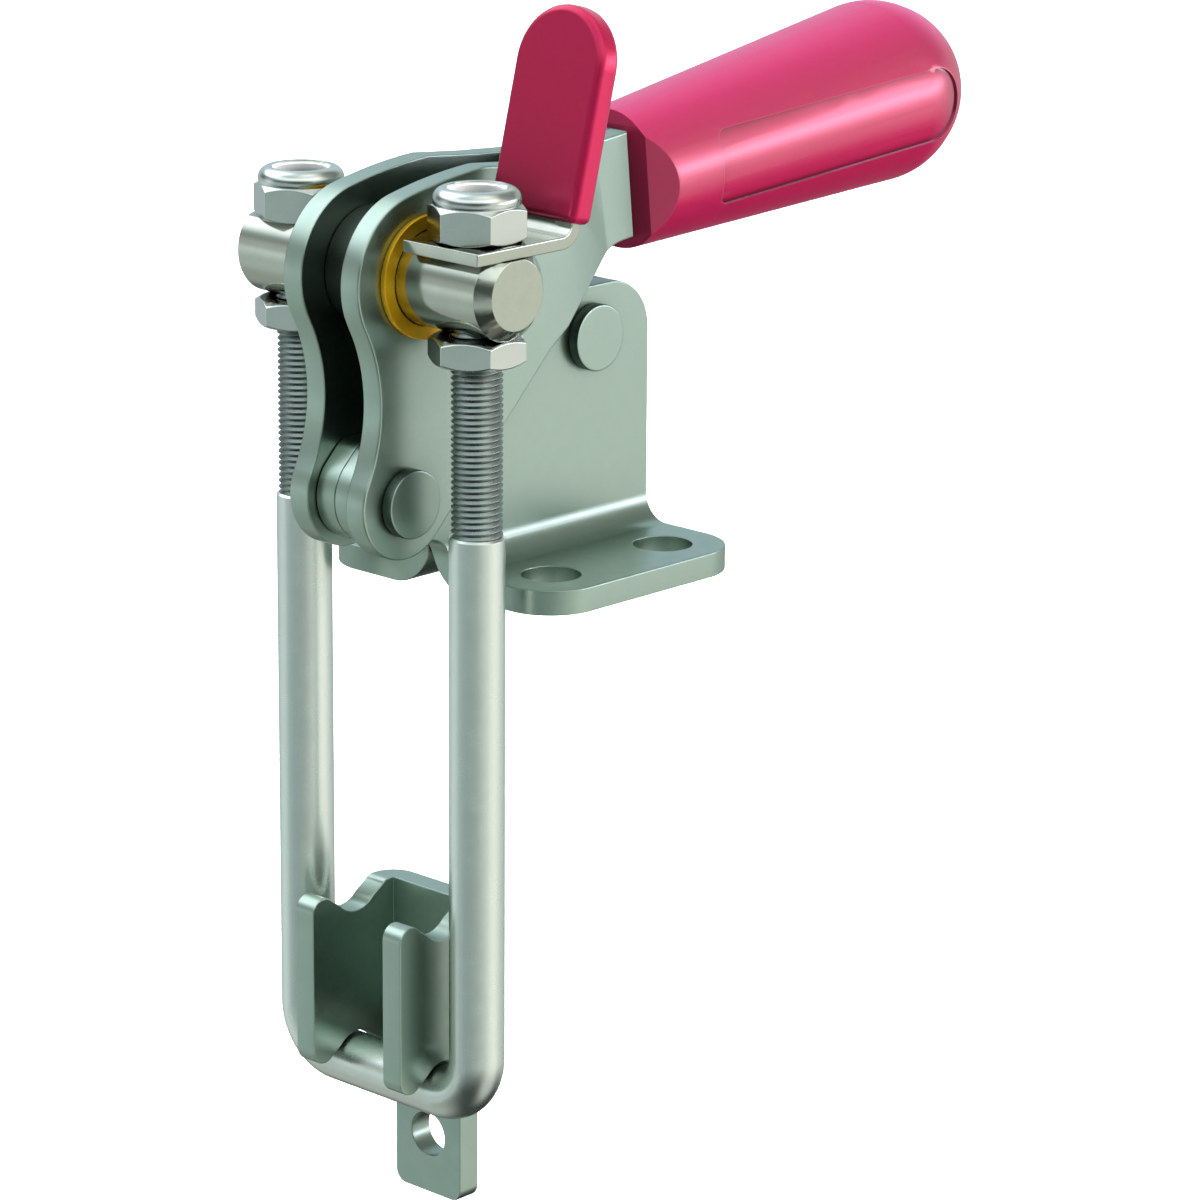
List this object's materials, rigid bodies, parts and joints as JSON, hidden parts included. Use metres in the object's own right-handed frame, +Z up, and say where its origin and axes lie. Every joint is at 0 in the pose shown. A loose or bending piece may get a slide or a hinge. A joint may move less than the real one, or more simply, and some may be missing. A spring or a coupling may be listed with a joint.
{
  "type": "toggle latch clamp",
  "caption": "Over-centre pull latch clamp with a bolt-down base, a gripped handle, an adjustable threaded U-bolt and a separate latch plate.",
  "frame": {"origin": "centre of the four mounting holes, on the underside of the base flanges", "axes": "+X towards the grip, +Y across the clamp away from the thumb lever, +Z up from the mounting face"},
  "size_m": [0.1058, 0.0416, 0.1446],
  "materials": {
    "zinc_plate": "satin zinc plating",
    "bright_zinc": "bright zinc plating",
    "rod_steel": "satin drawn rod",
    "dark_steel": "dark turned steel",
    "bush_yellow": "satin",
    "grip_plastic": "moulded semi-gloss",
    "vinyl": "dipped vinyl",
    "nylon": "matte"
  },
  "bodies": {
    "base": {"base_plate_near": "zinc_plate", "base_plate_far": "zinc_plate", "pivot_rivet": "zinc_plate", "rear_rivet": "zinc_plate"},
    "handle": {"handle_plate_near": "zinc_plate", "handle_plate_far": "zinc_plate", "grip": "grip_plastic", "trunnion_bush_near": "bush_yellow", "trunnion_bush_far": "bush_yellow"},
    "hook": {"trunnion": "bright_zinc", "trunnion_spacer": "dark_steel", "u_bolt": "rod_steel", "lock_nut_near": "bright_zinc", "lock_nut_far": "bright_zinc", "nut_insert_near": "nylon", "nut_insert_far": "nylon", "jam_nut_near": "bright_zinc", "jam_nut_far": "bright_zinc", "thumb_lever": "bright_zinc", "thumb_cover": "vinyl", "latch_plate": "zinc_plate"}
  },
  "joints": [
    {"name": "handle_pivot", "type": "hinge", "parent": "base", "child": "handle", "pos_m": [-0.02666, 0, 0.0135], "axis": [0, -1, 0], "range_deg": [0, 100]},
    {"name": "hook_swing", "type": "hinge", "parent": "handle", "child": "hook", "pos_m": [-0.0235, 0, 0.0393], "axis": [0, -1, 0], "range_deg": [-110, 4]}
  ],
  "couplings": [
    {"joint": "hook_swing", "follows": "handle_pivot", "ratio": -1}
  ]
}
